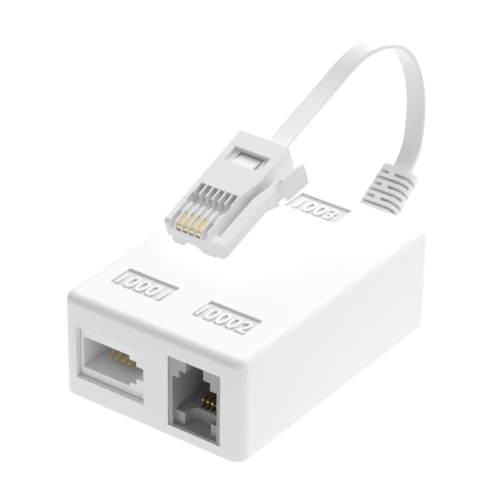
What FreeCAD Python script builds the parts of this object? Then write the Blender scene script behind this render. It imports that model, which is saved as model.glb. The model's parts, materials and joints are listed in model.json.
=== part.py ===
import FreeCAD, Part
import math
import os

os.makedirs("parts", exist_ok=True)
Vec = FreeCAD.Vector

# In-line line filter: a box with a phone socket and a modem socket in front,
# a board with two chokes inside, and a short flat cord with a four-contact plug.
# Millimetres, +Z up. The origin is the centre of the box's footprint, the front is -Y.

# How far a cutter runs past a face, how far a feature starts inside its carrier, and a hair's breadth
past = 1.0
into = 0.4
sliver = 0.01

# Case: its sides round the sockets, its corners and its gaps
side_margin_left = 3.4
side_margin_right = 4.42
socket_spacing = 5.42
modem_sill = 2.46
modem_head = 4.14
phone_sill = 4.37
rear_space = 3.7
wall = 1.8
corner_radius = 2.6
top_edge_radius = 1.8
rim_radius = 0.4
inner_corner_radius = 1.0
ceiling_radius = 0.6
base_thickness = 1.6
base_corner = 0.8
base_gap = 0.15
fit_gap = 0.1

# Label pockets in the top face
label_width = 11.3
label_length = 5.9
label_depth = 0.5
label_corner = 0.3
front_label_setback = 8.0
rear_label_setback = 4.6
rear_label_x = -0.75
phone_label_shift = -0.5
modem_label_shift = -0.95

# Phone socket in the front wall
phone_rim_x = 0.755
phone_rim_z = 2.18
phone_setback = 1.2
phone_mouth_width = 13.75
phone_mouth_height = 6.5
phone_mouth_shift_z = -0.35
phone_main_width = 10.45
phone_latch_step = 1.55
phone_step_drop = 0.8
phone_step_rise = 0.8
phone_end_drop = 1.8
phone_end_rise = 2.1
phone_pitch = 1.46
phone_first_contact = 3.1
phone_contact_width = 0.95
phone_tip_setback = 3.7
phone_tip_rise = 1.45
phone_crest_setback = 6.1
phone_crest_rise = 2.0
phone_spring_rise = 0.45
phone_back_slot = 1.1

# Modem socket in the front wall
modem_side_wall = 0.9
modem_setback = 0.25
modem_cavity_width = 9.7
modem_cavity_height = 10.25
modem_lip = 0.35
modem_step_width = 6.8
modem_step_height = 1.6
modem_key_width = 3.8
modem_key_height = 2.3
modem_ledge_height = 2.55
modem_ledge_setback = 1.05
modem_notch_width = 5.74
modem_notch_depth = 2.6
modem_notch_radius = 1.2
modem_pitch = 1.02
modem_contact_width = 0.56
modem_contact_groove = 0.72
modem_roof = 0.8
modem_groove_setback = 0.6
modem_groove_floor = 0.5
modem_back_slot = 0.8
modem_dip_start = 0.6
modem_dip_end = 2.4
modem_wire_rise = 1.0
modem_wire_lean = 0.7
modem_tip_rise = 0.6
modem_contact_setback = 1.7
modem_contact_rise = 3.0
modem_contact_reach = 5.6

# Both socket housings
housing_depth = 14.0
housing_back = 1.4
flange_thickness = 1.2
flange_margin = 0.75
bulkhead_thickness = 1.0
bulkhead_gap = 0.3
contact_thickness = 0.35
contact_bend = 0.3
contact_hole_gap = 0.15
spring_run = 1.2
mitre_limit = 0.2

# Board and its supports
board_thickness = 1.6
board_side_gap = 2.2
board_front_gap = 0.2
board_tail = 7.7
board_height = 3.6
post_diameter = 4.2
peg_diameter = 1.9
peg_hole_gap = 0.2
peg_recess = 0.2
hole_gap = 0.3
lead_below_board = 1.0
tail_setback = 1.4
tail_stagger = 1.8
tail_lift = 0.6
cradle_gap = 1.0
cradle_thickness = 1.2
cradle_inset = 1.0
clamp_diameter = 2.0
clamp_edge = 1.0
clamp_front_setback = 2.4
clamp_rear_setback = 1.3
peg_edge = 2.0
front_peg_setback = 3.3
middle_peg_setback = 2.5
rear_peg_setback = 5.0

# Snap hooks of the base and the ribs that they catch
hook_y = 10.0
hook_width = 6.0
hook_thickness = 1.0
hook_reach = 0.5
hook_rise = 1.5
hook_catch = 0.4
hook_tip_slope = 0.3
hook_side_gap = 0.5
rib_height = 5.4
rib_thickness = 1.0
rib_depth = 0.6

# Chokes
choke_gap = 3.4
choke_setback = 4.2
core_width = 13.0
core_depth = 12.4
core_height = 4.6
core_leg = 2.0
core_centre_leg = 4.0
core_seam = 0.02
core_gap = 0.1
bobbin_wall = 0.6
bobbin_flange = 0.7
bobbin_width = 8.8
bobbin_height = 8.8
winding_inset = 0.4
winding_corner = 1.2
choke_pin_diameter = 0.6
choke_pin_x = 3.3
choke_pin_root = 1.5

# Other components: width, depth, height and lead spacing
filter_cap = (7.2, 3.0, 7.6, 5.0)
filter_cap_xs = (-10.0, -1.2)
filter_cap_gap = 3.7
ring_cap = (12.8, 6.4, 11.0, 10.0)
ring_cap_x = 5.6
ring_cap_gap = 1.7
lead_diameter = 0.6
part_lift = 0.1
capacitor_corner = 0.4
resistor_diameter = 2.4
resistor_waist = 0.25
resistor_cap = 1.6
resistor_lift = 0.15
resistor_length = 6.4
resistor_span = 10.0
resistor_x = -8.2
resistor_gap = 3.9

# Strain relief
relief_exit_height = 9.0
relief_root_width = 9.0
relief_end_width = 7.7
relief_thickness = 4.5
relief_corner = 1.9
relief_pitch = 34.07
relief_straight = 3.4
relief_bend_radius = 14.0
relief_end_length = 9.9
relief_slot = 0.65
relief_slot_pitch = 1.42
relief_end_collar = 1.45
relief_slot_rows = 12
relief_core_margin = 0.7
relief_top_bridge = 1.4
relief_bridge_shift = -0.4
relief_side_bridge = 1.5
relief_neck_width = 6.2
relief_neck_height = 3.8
relief_collar_width = 10.4
relief_collar_height = 5.8
relief_collar_length = 1.2
relief_collar_corner = 1.0
relief_inner_length = 1.6
tongue_recess = 0.05
stop_gap = 0.75
stop_thickness = 1.0
stop_margin = 2.0
stop_drop = 1.2

# Cord, flat, and its two wires inside the case
cord_width = 4.3
cord_thickness = 1.2
cord_corner = 0.55
cord_tail_length = 4.0
wire_diameter = 0.9
wire_spacing = 1.8
wire_bend = 1.5
wire_run = 3.4
arc_share = 0.45
cord_route = [
    (0.0, 49.55, 16.955), (-0.2, 53.03, 19.31), (-0.6, 54.9, 24.1), (-1.3, 56.2, 30.0),
    (-2.6, 56.2, 36.4), (-4.2, 53.9, 41.5), (-5.9, 49.1, 43.6), (-7.7, 43.6, 42.6),
    (-9.1, 36.8, 38.0), (-9.55, 27.5, 34.3), (-9.55, 19.1, 31.22),
]

# Plug: nose at the front, lying on the case
plug_pitch = 20.1
plug_x = -15.5
plug_y = -5.8
plug_rise = 5.26
plug_width = 10.6
plug_grip_width = 11.15
plug_length = 25.05
plug_thickness = 5.6
plug_edge = 0.15
plug_nose_round = 0.8
plug_pin_pitch = 1.457
plug_first_slot = 1.64
plug_slots = 6
plug_slot_width = 0.97
plug_blade_slot = 1.2
groove_depth = 1.7
groove_length = 3.7
rail_depth = 0.9
channel_start = 6.0
channel_end = 8.0
channel_depth = 2.5
channel_left = 0.9
channel_right = 9.75
comb_end = 10.7
comb_slot_width = 1.12
comb_shift = 0.07
comb_rear_depth = 1.6
clamp_start = 17.3
clamp_end = 21.1
clamp_left = 1.55
clamp_right = 9.6
clamp_depth = 0.9
wedge_left = 3.05
wedge_right = 7.75
wedge_slit = 0.35
wedge_slit_depth = 3.0
wedge_slit_setback = 0.8
wedge_top = 0.35
wedge_slope_setback = 0.7
wedge_floor_setback = 1.6
flank_width = 0.9
flank_depth = 3.5
flank_straight = 9.0
flank_end = 16.4
flank_lift = 0.2
flank_steps = 6
least_flank = 0.02
foot_inset = 0.85
foot_rise = 1.6
arch_left = 3.4
arch_right = 7.7
arch_left_slope = 0.6
arch_right_slope = 1.3
arch_rise = 1.3
contact_top = 0.45
contact_start = 0.25
contact_bow = 0.6
contact_tip_height = 0.15
contact_tip_length = 0.7
plug_contact_gap = 0.03
latch_outer = 13.6
latch_thickness = 2.3
latch_top = 1.2
latch_bottom = 5.2
latch_root = 1.7
latch_bend = 12.4
latch_end = 15.4
latch_spread = 0.3
latch_catch = 0.5
latch_catch_width = 1.9
latch_chamfer = 1.3
neck_thickness = 0.8
neck_drop = 0.6
neck_inset = 0.3
tab_start = 18.1
tab_end = 23.1
tab_top = 1.0
tab_bottom = 6.7
tab_slant = 0.8
tab_thickness = 0.65
tab_step = 1.55
tab_flare = 1.6

# Values worked out from the ones above
phone_window_width = phone_mouth_width + 2 * phone_rim_x
phone_window_height = phone_mouth_height + 2 * phone_rim_z
modem_window_width = modem_cavity_width + 2 * modem_side_wall
modem_window_height = modem_lip + modem_cavity_height + modem_step_height + modem_key_height
body_width = side_margin_left + phone_window_width + socket_spacing + modem_window_width + side_margin_right
body_height = modem_sill + modem_window_height + modem_head
board_length = (choke_setback + core_depth + filter_cap_gap + filter_cap[1] + ring_cap_gap + ring_cap[1]
                + board_tail)
body_length = phone_setback + housing_depth + board_front_gap + board_length + rear_space + wall
half_w = body_width / 2
half_l = body_length / 2
front = -half_l
rear = half_l
inner_front = front + wall
inner_rear = rear - wall
ceiling = body_height - wall
board_top = board_height + board_thickness
lead_end = board_height - lead_below_board
housing_rear = front + phone_setback + housing_depth
phone_window_x = -half_w + side_margin_left + phone_window_width / 2
phone_window_z = phone_sill + phone_window_height / 2
modem_window_x = half_w - side_margin_right - modem_window_width / 2
modem_window_z = modem_sill + modem_window_height / 2
flange_front = inner_front + fit_gap
flange_rear = flange_front + flange_thickness
bulkhead_front = flange_rear + fit_gap
bulkhead_rear = bulkhead_front + bulkhead_thickness
tail_y = housing_rear + tail_setback
tail_over = board_top + tail_lift
board_front = housing_rear + board_front_gap
board_rear = board_front + board_length
board_half_width = half_w - wall - board_side_gap
clamp_x = board_half_width - clamp_edge
clamp_ys = (board_front + clamp_front_setback, board_rear - clamp_rear_setback)
choke_x = (core_width + choke_gap) / 2
choke_y = board_front + choke_setback + core_depth / 2
choke_rear = choke_y + core_depth / 2
peg_x = board_half_width - peg_edge
pegs = [(0.0, board_front + front_peg_setback)]
pegs += [(side * peg_x, y) for y in (choke_rear + middle_peg_setback, board_rear - rear_peg_setback)
         for side in (-1, 1)]
filter_cap_y = choke_rear + filter_cap_gap + filter_cap[1] / 2
filter_cap_places = [(x, filter_cap_y) for x in filter_cap_xs]
ring_cap_place = (ring_cap_x, filter_cap_y + filter_cap[1] / 2 + ring_cap_gap + ring_cap[1] / 2)
resistor_place = (resistor_x, filter_cap_y + filter_cap[1] / 2 + resistor_gap)
phone_mouth_left = phone_window_x - phone_mouth_width / 2
phone_mouth_low = phone_window_z + phone_mouth_shift_z - phone_mouth_height / 2
phone_contact_xs = [phone_mouth_left + phone_first_contact + i * phone_pitch for i in range(4)]
modem_floor = modem_window_z - modem_window_height / 2 + modem_lip
modem_ledge_top = modem_floor + modem_ledge_height
modem_contact_xs = [modem_window_x + (i - 1.5) * modem_pitch for i in range(4)]
choke_centre_z = board_top + bobbin_height / 2 + part_lift
relief_inner_end = inner_rear - relief_inner_length
plug_nose_corner = (plug_x, plug_y, body_height + plug_rise)


def box(x0, x1, y0, y1, z0, z1):
    return Part.makeBox(x1 - x0, y1 - y0, z1 - z0, Vec(x0, y0, z0))


def cylinder(x, y, z0, z1, diameter):
    return Part.makeCylinder(diameter / 2, z1 - z0, Vec(x, y, z0))


def polygon(points, push):
    wire = Part.makePolygon([Vec(*p) for p in points] + [Vec(*points[0])])
    return Part.Face(wire).extrude(Vec(*push))


def is_upright(edge):
    a, b = edge.Vertexes[0].Point, edge.Vertexes[-1].Point
    return abs(a.x - b.x) < 1e-6 and abs(a.y - b.y) < 1e-6 and abs(a.z - b.z) > 1e-6


def runs_back(edge):
    a, b = edge.Vertexes[0].Point, edge.Vertexes[-1].Point
    return abs(a.y - b.y) > 1e-6 and abs(a.x - b.x) < 1e-6 and abs(a.z - b.z) < 1e-6


def lies_at(edge, z):
    return all(abs(v.Point.z - z) < 1e-6 for v in edge.Vertexes)


def round_box(x0, x1, y0, y1, z0, z1, corner, top=0.0, bottom=0.0):
    shape = box(x0, x1, y0, y1, z0, z1)
    shape = shape.makeFillet(corner, [e for e in shape.Edges if is_upright(e)])
    if top:
        shape = shape.makeFillet(top, [e for e in shape.Edges if lies_at(e, z1)])
    if bottom:
        shape = shape.makeFillet(bottom, [e for e in shape.Edges if lies_at(e, z0)])
    return shape


def fuse_all(shapes):
    whole = shapes[0].multiFuse(shapes[1:]) if len(shapes) > 1 else shapes[0]
    return whole.removeSplitter()


def cut_all(shape, cutters):
    return shape.cut(Part.makeCompound(cutters))


def save(name, shape):
    if not shape.isValid():
        raise ValueError("not a valid solid: " + name)
    shape.exportStep("parts/" + name + ".step")


def centred(centre, size):
    return centre - size / 2, centre + size / 2


def bent_strip(points, width, thickness, bend, x):
    """Strip of constant thickness along points in the YZ plane, rounded at its bends."""
    path = [Vec(0, y, z) for y, z in points]
    left, right = [], []
    for i, p in enumerate(path):
        before = (p - path[i - 1]).normalize() if i else None
        after = (path[i + 1] - p).normalize() if i < len(path) - 1 else None
        ahead = (before or after) + (after or before)
        ahead.normalize()
        side = Vec(0, -ahead.z, ahead.y)
        reach = thickness / 2 / max(mitre_limit, side.dot(Vec(0, -(after or before).z, (after or before).y)))
        left.append(p + side * reach)
        right.append(p - side * reach)
    outline = Part.makePolygon(left + right[::-1] + [left[0]])
    strip = Part.Face(outline).extrude(Vec(width, 0, 0))
    strip.translate(Vec(x - width / 2, 0, 0))
    corners = []
    for i in range(1, len(path) - 1):
        for edge in strip.Edges:
            a, b = edge.Vertexes[0].Point, edge.Vertexes[-1].Point
            if abs(a.y - b.y) > 1e-6 or abs(a.z - b.z) > 1e-6:
                continue
            if math.hypot(a.y - path[i].y, a.z - path[i].z) < thickness:
                outer = min((Vec(0, a.y, a.z) - left[i]).Length, (Vec(0, a.y, a.z) - right[i]).Length)
                if outer < 1e-6:
                    corners.append(edge)
    return strip.makeFillet(bend, corners) if corners else strip


# Case
def phone_profile(y0, y1, gap=0.0):
    """Mouth of the phone socket: the plug's main part and two steps for its latch."""
    x0 = phone_mouth_left
    x1 = x0 + phone_main_width
    x2 = x1 + phone_latch_step
    x3 = x0 + phone_mouth_width
    z0 = phone_mouth_low
    z1 = z0 + phone_mouth_height
    return fuse_all([
        box(x0 - gap, x1 + gap, y0, y1, z0 - gap, z1 + gap),
        box(x1, x2 + gap, y0, y1, z0 + phone_step_rise - gap, z1 - phone_step_drop + gap),
        box(x1, x3 + gap, y0, y1, z0 + phone_end_rise - gap, z1 - phone_end_drop + gap),
    ])


def housing_box(x, z, width, height, y0, y1, margin):
    x0, x1 = centred(x, width + 2 * margin)
    z0, z1 = centred(z, height + 2 * margin)
    return box(x0, x1, y0, y1, z0, z1)


def window(x, z, width, height):
    return housing_box(x, z, width, height, front - past, inner_front + past, 0.0)


def label_pocket(x, y):
    x0, x1 = centred(x, label_width)
    y0, y1 = centred(y, label_length)
    return round_box(x0, x1, y0, y1, body_height - label_depth, body_height + past, label_corner)


def relief_passage(gap, z_low):
    half = relief_neck_width / 2 + gap
    top = relief_exit_height + relief_neck_height / 2 + gap
    return box(-half, half, inner_rear - past, rear + past, z_low, top)


def make_upper_cover():
    outer = round_box(-half_w, half_w, front, rear, 0, body_height,
                      corner_radius, top_edge_radius, rim_radius)
    inner = round_box(-half_w + wall, half_w - wall, inner_front, inner_rear, -past, ceiling,
                      inner_corner_radius, ceiling_radius)
    cover = outer.cut(inner)
    cutters = [
        window(phone_window_x, phone_window_z, phone_window_width, phone_window_height),
        window(modem_window_x, modem_window_z, modem_window_width, modem_window_height),
        relief_passage(fit_gap, -past),
        label_pocket(phone_window_x + phone_label_shift, front + front_label_setback + label_length / 2),
        label_pocket(modem_window_x + modem_label_shift, front + front_label_setback + label_length / 2),
        label_pocket(rear_label_x, rear - rear_label_setback - label_length / 2),
    ]
    cover = cut_all(cover, cutters)
    bulkhead = box(-half_w + wall / 2, half_w - wall / 2, bulkhead_front, bulkhead_rear,
                   base_thickness + bulkhead_gap, body_height - wall / 2)
    slots = []
    for x, z, width, height in ((phone_window_x, phone_window_z, phone_window_width, phone_window_height),
                                (modem_window_x, modem_window_z, modem_window_width, modem_window_height)):
        x0, x1 = centred(x, width)
        slots.append(box(x0, x1, bulkhead_front - past, bulkhead_rear + past, -past,
                         z + height / 2 + fit_gap))
    bulkhead = cut_all(bulkhead, slots)
    extras = [bulkhead]
    for side in (-1, 1):
        for y in (-hook_y, hook_y):
            x = side * (half_w - wall)
            x0, x1 = sorted((x + side * into, x - side * rib_depth))
            y0, y1 = centred(y, hook_width + 2 * hook_side_gap)
            extras.append(box(x0, x1, y0, y1, rib_height - rib_thickness, rib_height))
        for y in clamp_ys:
            extras.append(cylinder(side * clamp_x, y, board_top + fit_gap, ceiling + into, clamp_diameter))
    return fuse_all([cover] + extras)


def make_hook(side, y):
    """Snap arm that stands clear of the wall and catches over the cover's rib."""
    inner = half_w - wall - rib_depth - base_gap - hook_thickness
    outer = inner + hook_thickness
    top = rib_height + hook_rise
    catch = rib_height + fit_gap
    low = base_thickness - into
    outline = [(inner, low), (outer, low), (outer, catch), (outer + hook_reach, catch),
               (outer + hook_reach, catch + hook_catch), (outer - hook_tip_slope, top), (inner, top)]
    hook = polygon([(px, y - hook_width / 2, pz) for px, pz in outline], (0, hook_width, 0))
    return hook if side > 0 else hook.mirror(Vec(0, 0, 0), Vec(1, 0, 0))


def make_base_cover():
    half_x = half_w - wall - base_gap
    plate = round_box(-half_x, half_x, inner_front + base_gap, inner_rear - base_gap,
                      0, base_thickness, base_corner)
    tongue_half = relief_neck_width / 2
    tongue_top = relief_exit_height - relief_neck_height / 2 - fit_gap
    tongue = box(-tongue_half, tongue_half, inner_rear, rear - tongue_recess, 0, tongue_top)
    foot = box(-tongue_half, tongue_half, inner_rear - base_gap - into, inner_rear + into, 0, base_thickness)
    stop_half = tongue_half + stop_margin
    stop_rear = relief_inner_end - stop_gap
    stop = box(-stop_half, stop_half, stop_rear - stop_thickness, stop_rear,
               base_thickness - into, relief_exit_height - relief_collar_height / 2 - stop_drop)
    pieces = [plate, tongue, foot, stop]
    for side in (-1, 1):
        for y in (-hook_y, hook_y):
            pieces.append(make_hook(side, y))
    for x, y in pegs:
        pieces.append(cylinder(x, y, base_thickness - into, board_height, post_diameter))
        pieces.append(cylinder(x, y, board_height - into, board_top - peg_recess, peg_diameter))
    cradle_fronts = (bulkhead_rear + cradle_gap, housing_rear - 2 * cradle_thickness)
    phone_low = phone_window_z - phone_window_height / 2 + fit_gap
    modem_low = modem_window_z - modem_window_height / 2 + fit_gap
    for y in cradle_fronts:
        for x, width, low in ((phone_window_x, phone_window_width, phone_low),
                              (modem_window_x, modem_window_width, modem_low)):
            x0, x1 = centred(x, width - 2 * cradle_inset)
            pieces.append(box(x0, x1, y, y + cradle_thickness, base_thickness - into, low - fit_gap))
    return fuse_all(pieces)


# Sockets
def housing_blank(x, z, width, height, face):
    body = housing_box(x, z, width, height, face, housing_rear, -fit_gap)
    flange = housing_box(x, z, width, height, flange_front, flange_rear, flange_margin)
    return body.fuse(flange)


def make_phone_socket():
    face = front + phone_setback
    blank = housing_blank(phone_window_x, phone_window_z, phone_window_width, phone_window_height, face)
    cutters = [phone_profile(face - past, housing_rear - housing_back)]
    for x in phone_contact_xs:
        x0, x1 = centred(x, phone_contact_width + 2 * fit_gap)
        cutters.append(box(x0, x1, housing_rear - housing_back - into, housing_rear + past,
                           phone_mouth_low, phone_mouth_low + phone_back_slot))
    return cut_all(blank, cutters)


def tail_row(i):
    """Distance of contact i's tail from the front edge: neighbours stand in two rows."""
    return tail_y + (i % 2) * tail_stagger


def phone_spring_points(i):
    """Spring from the board, forward through the back wall, up to its crest and on to its free tip."""
    low = phone_mouth_low + phone_spring_rise
    crest = phone_mouth_low + phone_crest_rise
    mouth = front + phone_setback
    return [(tail_row(i), lead_end), (tail_row(i), low), (housing_rear - housing_back - spring_run, low),
            (mouth + phone_crest_setback + spring_run, crest), (mouth + phone_crest_setback, crest),
            (mouth + phone_tip_setback, phone_mouth_low + phone_tip_rise)]


def make_modem_socket():
    x, z = modem_window_x, modem_window_z
    face = front + modem_setback
    blank = housing_blank(x, z, modem_window_width, modem_window_height, face)
    inside = housing_rear - housing_back
    floor = modem_floor
    body_top = floor + modem_cavity_height
    step_top = body_top + modem_step_height
    key_top = z + modem_window_height / 2 + past
    cutters = []
    for width, z0, z1 in ((modem_cavity_width, floor, body_top),
                          (modem_step_width, body_top - past, step_top),
                          (modem_key_width, step_top - past, key_top)):
        x0, x1 = centred(x, width)
        roof = min(z1, z + modem_window_height / 2 + flange_margin - modem_roof)
        cutters.append(box(x0, x1, face - past, inside, z0, roof))
        if z1 > roof:
            cutters.append(box(x0, x1, face - past, flange_front, z0, z1))
    hollow = fuse_all(cutters)
    ledge_front = face + modem_ledge_setback
    x0, x1 = centred(x, modem_cavity_width + modem_side_wall)
    ledge = box(x0, x1, ledge_front, inside + into, floor - modem_lip / 2, modem_ledge_top)
    n0, n1 = centred(x, modem_notch_width)
    notch = box(n0, n1, ledge_front - past, ledge_front + modem_notch_depth, floor, modem_ledge_top + past)
    corners = [e for e in notch.Edges if is_upright(e) and e.Vertexes[0].Point.y > ledge_front]
    notch = notch.makeFillet(modem_notch_radius, corners)
    grooves = [notch]
    for cx in modem_contact_xs:
        c0, c1 = centred(cx, modem_contact_groove)
        grooves.append(box(c0, c1, ledge_front + modem_notch_depth + modem_groove_setback, inside + past,
                           floor + modem_groove_floor, modem_ledge_top + past))
    ledge = cut_all(ledge, grooves)
    body = blank.cut(hollow).fuse(ledge)
    half = modem_contact_groove / 2
    z0, z1 = centred(tail_over, modem_back_slot)
    back = [box(cx - half, cx + half, inside - into, housing_rear + past, z0, z1) for cx in modem_contact_xs]
    return cut_all(body, back).removeSplitter()


def modem_spring_points(i):
    """Wire from the board, forward in its groove, round a hairpin and back up towards the rear."""
    low = modem_floor + modem_wire_rise
    turn = front + modem_setback + modem_ledge_setback + modem_notch_depth + modem_contact_setback
    inside = housing_rear - housing_back
    crest = low + modem_contact_rise
    return [(tail_row(i), lead_end), (tail_row(i), tail_over), (inside - modem_dip_start, tail_over),
            (inside - modem_dip_end, low), (turn, low), (turn - modem_wire_lean, crest),
            (turn + modem_contact_reach, crest + modem_tip_rise)]


def make_springs():
    for i, x in enumerate(phone_contact_xs):
        save("phone_contact_%d" % (i + 1),
             bent_strip(phone_spring_points(i), phone_contact_width, contact_thickness, contact_bend, x))
    for i, x in enumerate(modem_contact_xs):
        save("modem_contact_%d" % (i + 1),
             bent_strip(modem_spring_points(i), modem_contact_width, contact_thickness, contact_bend, x))


# Board and components
def choke_pins(x):
    y = core_depth / 2 - core_leg - core_gap - bobbin_flange / 2
    return [(x + side * choke_pin_x, choke_y + end * y) for side in (-1, 1) for end in (-1, 1)]


def cap_leads(place, spacing):
    x, y = place
    return [(x - spacing / 2, y), (x + spacing / 2, y)]


def make_circuit_board():
    board = box(-board_half_width, board_half_width, board_front, board_rear, board_height, board_top)
    holes = []

    def drill(points, diameter):
        for px, py in points:
            holes.append(cylinder(px, py, board_height - past, board_top + past, diameter))

    drill(pegs, peg_diameter + peg_hole_gap)
    for xs, width in ((phone_contact_xs, phone_contact_width), (modem_contact_xs, modem_contact_width)):
        drill([(px, tail_row(i)) for i, px in enumerate(xs)], width + contact_hole_gap + hole_gap)
    for cx in (-choke_x, choke_x):
        drill(choke_pins(cx), choke_pin_diameter + hole_gap)
    for place in filter_cap_places:
        drill(cap_leads(place, filter_cap[3]), lead_diameter + hole_gap)
    drill(cap_leads(ring_cap_place, ring_cap[3]), lead_diameter + hole_gap)
    drill(cap_leads(resistor_place, resistor_span), lead_diameter + hole_gap)
    drill([(side * wire_spacing / 2, wire_down_y()) for side in (-1, 1)], wire_diameter + hole_gap)
    return cut_all(board, holes)


def make_choke(name, x):
    y, z = choke_y, choke_centre_z
    window_half = core_depth / 2 - core_leg
    leg = core_centre_leg / 2

    def core_half(end):
        z0, z1 = centred(z, core_height)
        reach = core_depth / 2 - core_seam
        pieces = [box(x - core_width / 2, x + core_width / 2, 0, core_leg, z0, z1),
                  box(x - leg, x + leg, 0, reach, z0, z1)]
        for side in (-1, 1):
            x0, x1 = sorted((x + side * core_width / 2, x + side * (core_width / 2 - core_leg)))
            pieces.append(box(x0, x1, 0, reach, z0, z1))
        half = fuse_all(pieces)
        if end > 0:
            half = half.mirror(Vec(0, 0, 0), Vec(0, 1, 0))
        half.translate(Vec(0, y + end * core_depth / 2, 0))
        return half

    save(name + "_core_front", core_half(-1))
    save(name + "_core_rear", core_half(1))

    inner_x = leg + core_gap
    inner_z = core_height / 2 + core_gap
    length = window_half - core_gap
    tube = box(x - inner_x - bobbin_wall, x + inner_x + bobbin_wall, y - length, y + length,
               z - inner_z - bobbin_wall, z + inner_z + bobbin_wall)
    pieces = [tube]
    for y0, y1 in ((y - length, y - length + bobbin_flange),
                   (y - bobbin_flange / 2, y + bobbin_flange / 2),
                   (y + length - bobbin_flange, y + length)):
        pieces.append(box(x - bobbin_width / 2, x + bobbin_width / 2, y0, y1,
                          z - bobbin_height / 2, z + bobbin_height / 2))
    y0, y1 = centred(y, 2 * (length + past))
    bobbin = fuse_all(pieces).cut(box(x - inner_x, x + inner_x, y0, y1, z - inner_z, z + inner_z))
    pins = [cylinder(px, py, lead_end, z - bobbin_height / 2 + choke_pin_root, choke_pin_diameter)
            for px, py in choke_pins(x)]
    save(name + "_bobbin", cut_all(bobbin, pins))
    save(name + "_pins", Part.makeCompound(pins))

    for i, (y0, y1) in enumerate(((y - length + bobbin_flange, y - bobbin_flange / 2),
                                  (y + bobbin_flange / 2, y + length - bobbin_flange))):
        coil = box(x - bobbin_width / 2 + winding_inset, x + bobbin_width / 2 - winding_inset, y0, y1,
                   z - bobbin_height / 2 + winding_inset, z + bobbin_height / 2 - winding_inset)
        coil = coil.makeFillet(winding_corner, [e for e in coil.Edges if runs_back(e)])
        coil = coil.cut(box(x - inner_x - bobbin_wall, x + inner_x + bobbin_wall, y0 - past, y1 + past,
                            z - inner_z - bobbin_wall, z + inner_z + bobbin_wall))
        save("%s_winding_%d" % (name, i + 1), coil)


def make_box_capacitor(name, place, size):
    width, depth, height, spacing = size
    x, y = place
    z0 = board_top + part_lift
    case = box(x - width / 2, x + width / 2, y - depth / 2, y + depth / 2, z0, z0 + height)
    edges = [e for e in case.Edges if is_upright(e) or lies_at(e, z0 + height)]
    case = case.makeFillet(capacitor_corner, edges)
    leads = [cylinder(px, py, lead_end, z0 + into, lead_diameter) for px, py in cap_leads(place, spacing)]
    save(name, fuse_all([case] + leads))


def make_resistor(name, place):
    x, y = place
    z = board_top + resistor_diameter / 2 + resistor_lift
    start = Vec(x - resistor_length / 2, y, z)
    core = Part.makeCylinder(resistor_diameter / 2 - resistor_waist, resistor_length, start, Vec(1, 0, 0))
    pieces = [core]
    for side in (-1, 1):
        x0, x1 = centred(x + side * (resistor_length - resistor_cap) / 2, resistor_cap)
        cap = Part.makeCylinder(resistor_diameter / 2, x1 - x0, Vec(x0, y, z), Vec(1, 0, 0))
        pieces.append(cap)
        reach = resistor_span / 2
        pieces.append(Part.makeCylinder(lead_diameter / 2, reach, Vec(x, y, z), Vec(side, 0, 0)))
        pieces.append(Part.makeSphere(lead_diameter / 2, Vec(x + side * reach, y, z)))
        pieces.append(cylinder(x + side * reach, y, lead_end, z, lead_diameter))
    save(name, fuse_all(pieces))


# Cord and strain relief
def flat_section(width, thickness, corner, origin, up):
    """Rounded rectangle, wide along X, in the plane through origin that holds X and up."""
    hw = width / 2
    ht = thickness / 2
    across = Vec(1, 0, 0)
    diagonal = corner * (1 - math.sqrt(0.5))

    def at(a, b):
        return origin + across * a + up * b

    edges = []
    for sx, sy in ((1, 1), (-1, 1), (-1, -1), (1, -1)):
        start = at(sx * hw, sy * (ht - corner))
        middle = at(sx * (hw - diagonal), sy * (ht - diagonal))
        end = at(sx * (hw - corner), sy * ht)
        arc = (start, middle, end) if sx * sy > 0 else (end, middle, start)
        edges.append(Part.Arc(*arc).toShape())
    joined = []
    for i, edge in enumerate(edges):
        joined.append(edge)
        a = edge.Curve.value(edge.LastParameter)
        following = edges[(i + 1) % 4]
        b = following.Curve.value(following.FirstParameter)
        if (a - b).Length > 1e-6:
            joined.append(Part.LineSegment(a, b).toShape())
    return Part.Wire(joined)


def relief_start():
    return Vec(0, rear + fit_gap, relief_exit_height)


def relief_frame(s):
    """Point, direction and up at distance s along the strain relief's centre line."""
    pitch = math.radians(relief_pitch)
    bend = relief_bend_radius * pitch
    start = relief_start()
    if s <= relief_straight:
        turned = 0.0
        point = start + Vec(0, s, 0)
    else:
        turned = min(pitch, (s - relief_straight) / relief_bend_radius)
        centre = start + Vec(0, relief_straight, relief_bend_radius)
        point = centre + Vec(0, math.sin(turned), -math.cos(turned)) * relief_bend_radius
        rest = s - relief_straight - bend
        if rest > 0:
            point = point + Vec(0, math.cos(pitch), math.sin(pitch)) * rest
    ahead = Vec(0, math.cos(turned), math.sin(turned))
    up = Vec(0, -math.sin(turned), math.cos(turned))
    return point, ahead, up


def relief_length():
    return relief_straight + relief_bend_radius * math.radians(relief_pitch) + relief_end_length


def relief_bar():
    """Bar of rounded section along the centre line, narrower towards the cord: straight, bend, straight."""
    def section(s):
        point, ahead, up = relief_frame(s)
        width = relief_root_width + (relief_end_width - relief_root_width) * s / relief_length()
        return flat_section(width, relief_thickness, relief_corner, point, up)

    bend_end = relief_length() - relief_end_length
    steps = [relief_straight + (bend_end - relief_straight) * i / 4 for i in range(5)]
    first = Part.makeLoft([section(0), section(relief_straight)], True, True)
    bend = Part.makeLoft([section(s) for s in steps], True, False)
    end = Part.makeLoft([section(bend_end), section(relief_length())], True, True)
    return first.fuse([bend, end])


def in_relief_frame(shape, s):
    point, ahead, up = relief_frame(s)
    pitch = math.degrees(math.atan2(ahead.z, ahead.y))
    shape = shape.copy()
    shape.Placement = FreeCAD.Placement(point, FreeCAD.Rotation(Vec(1, 0, 0), pitch))
    return shape


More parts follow.
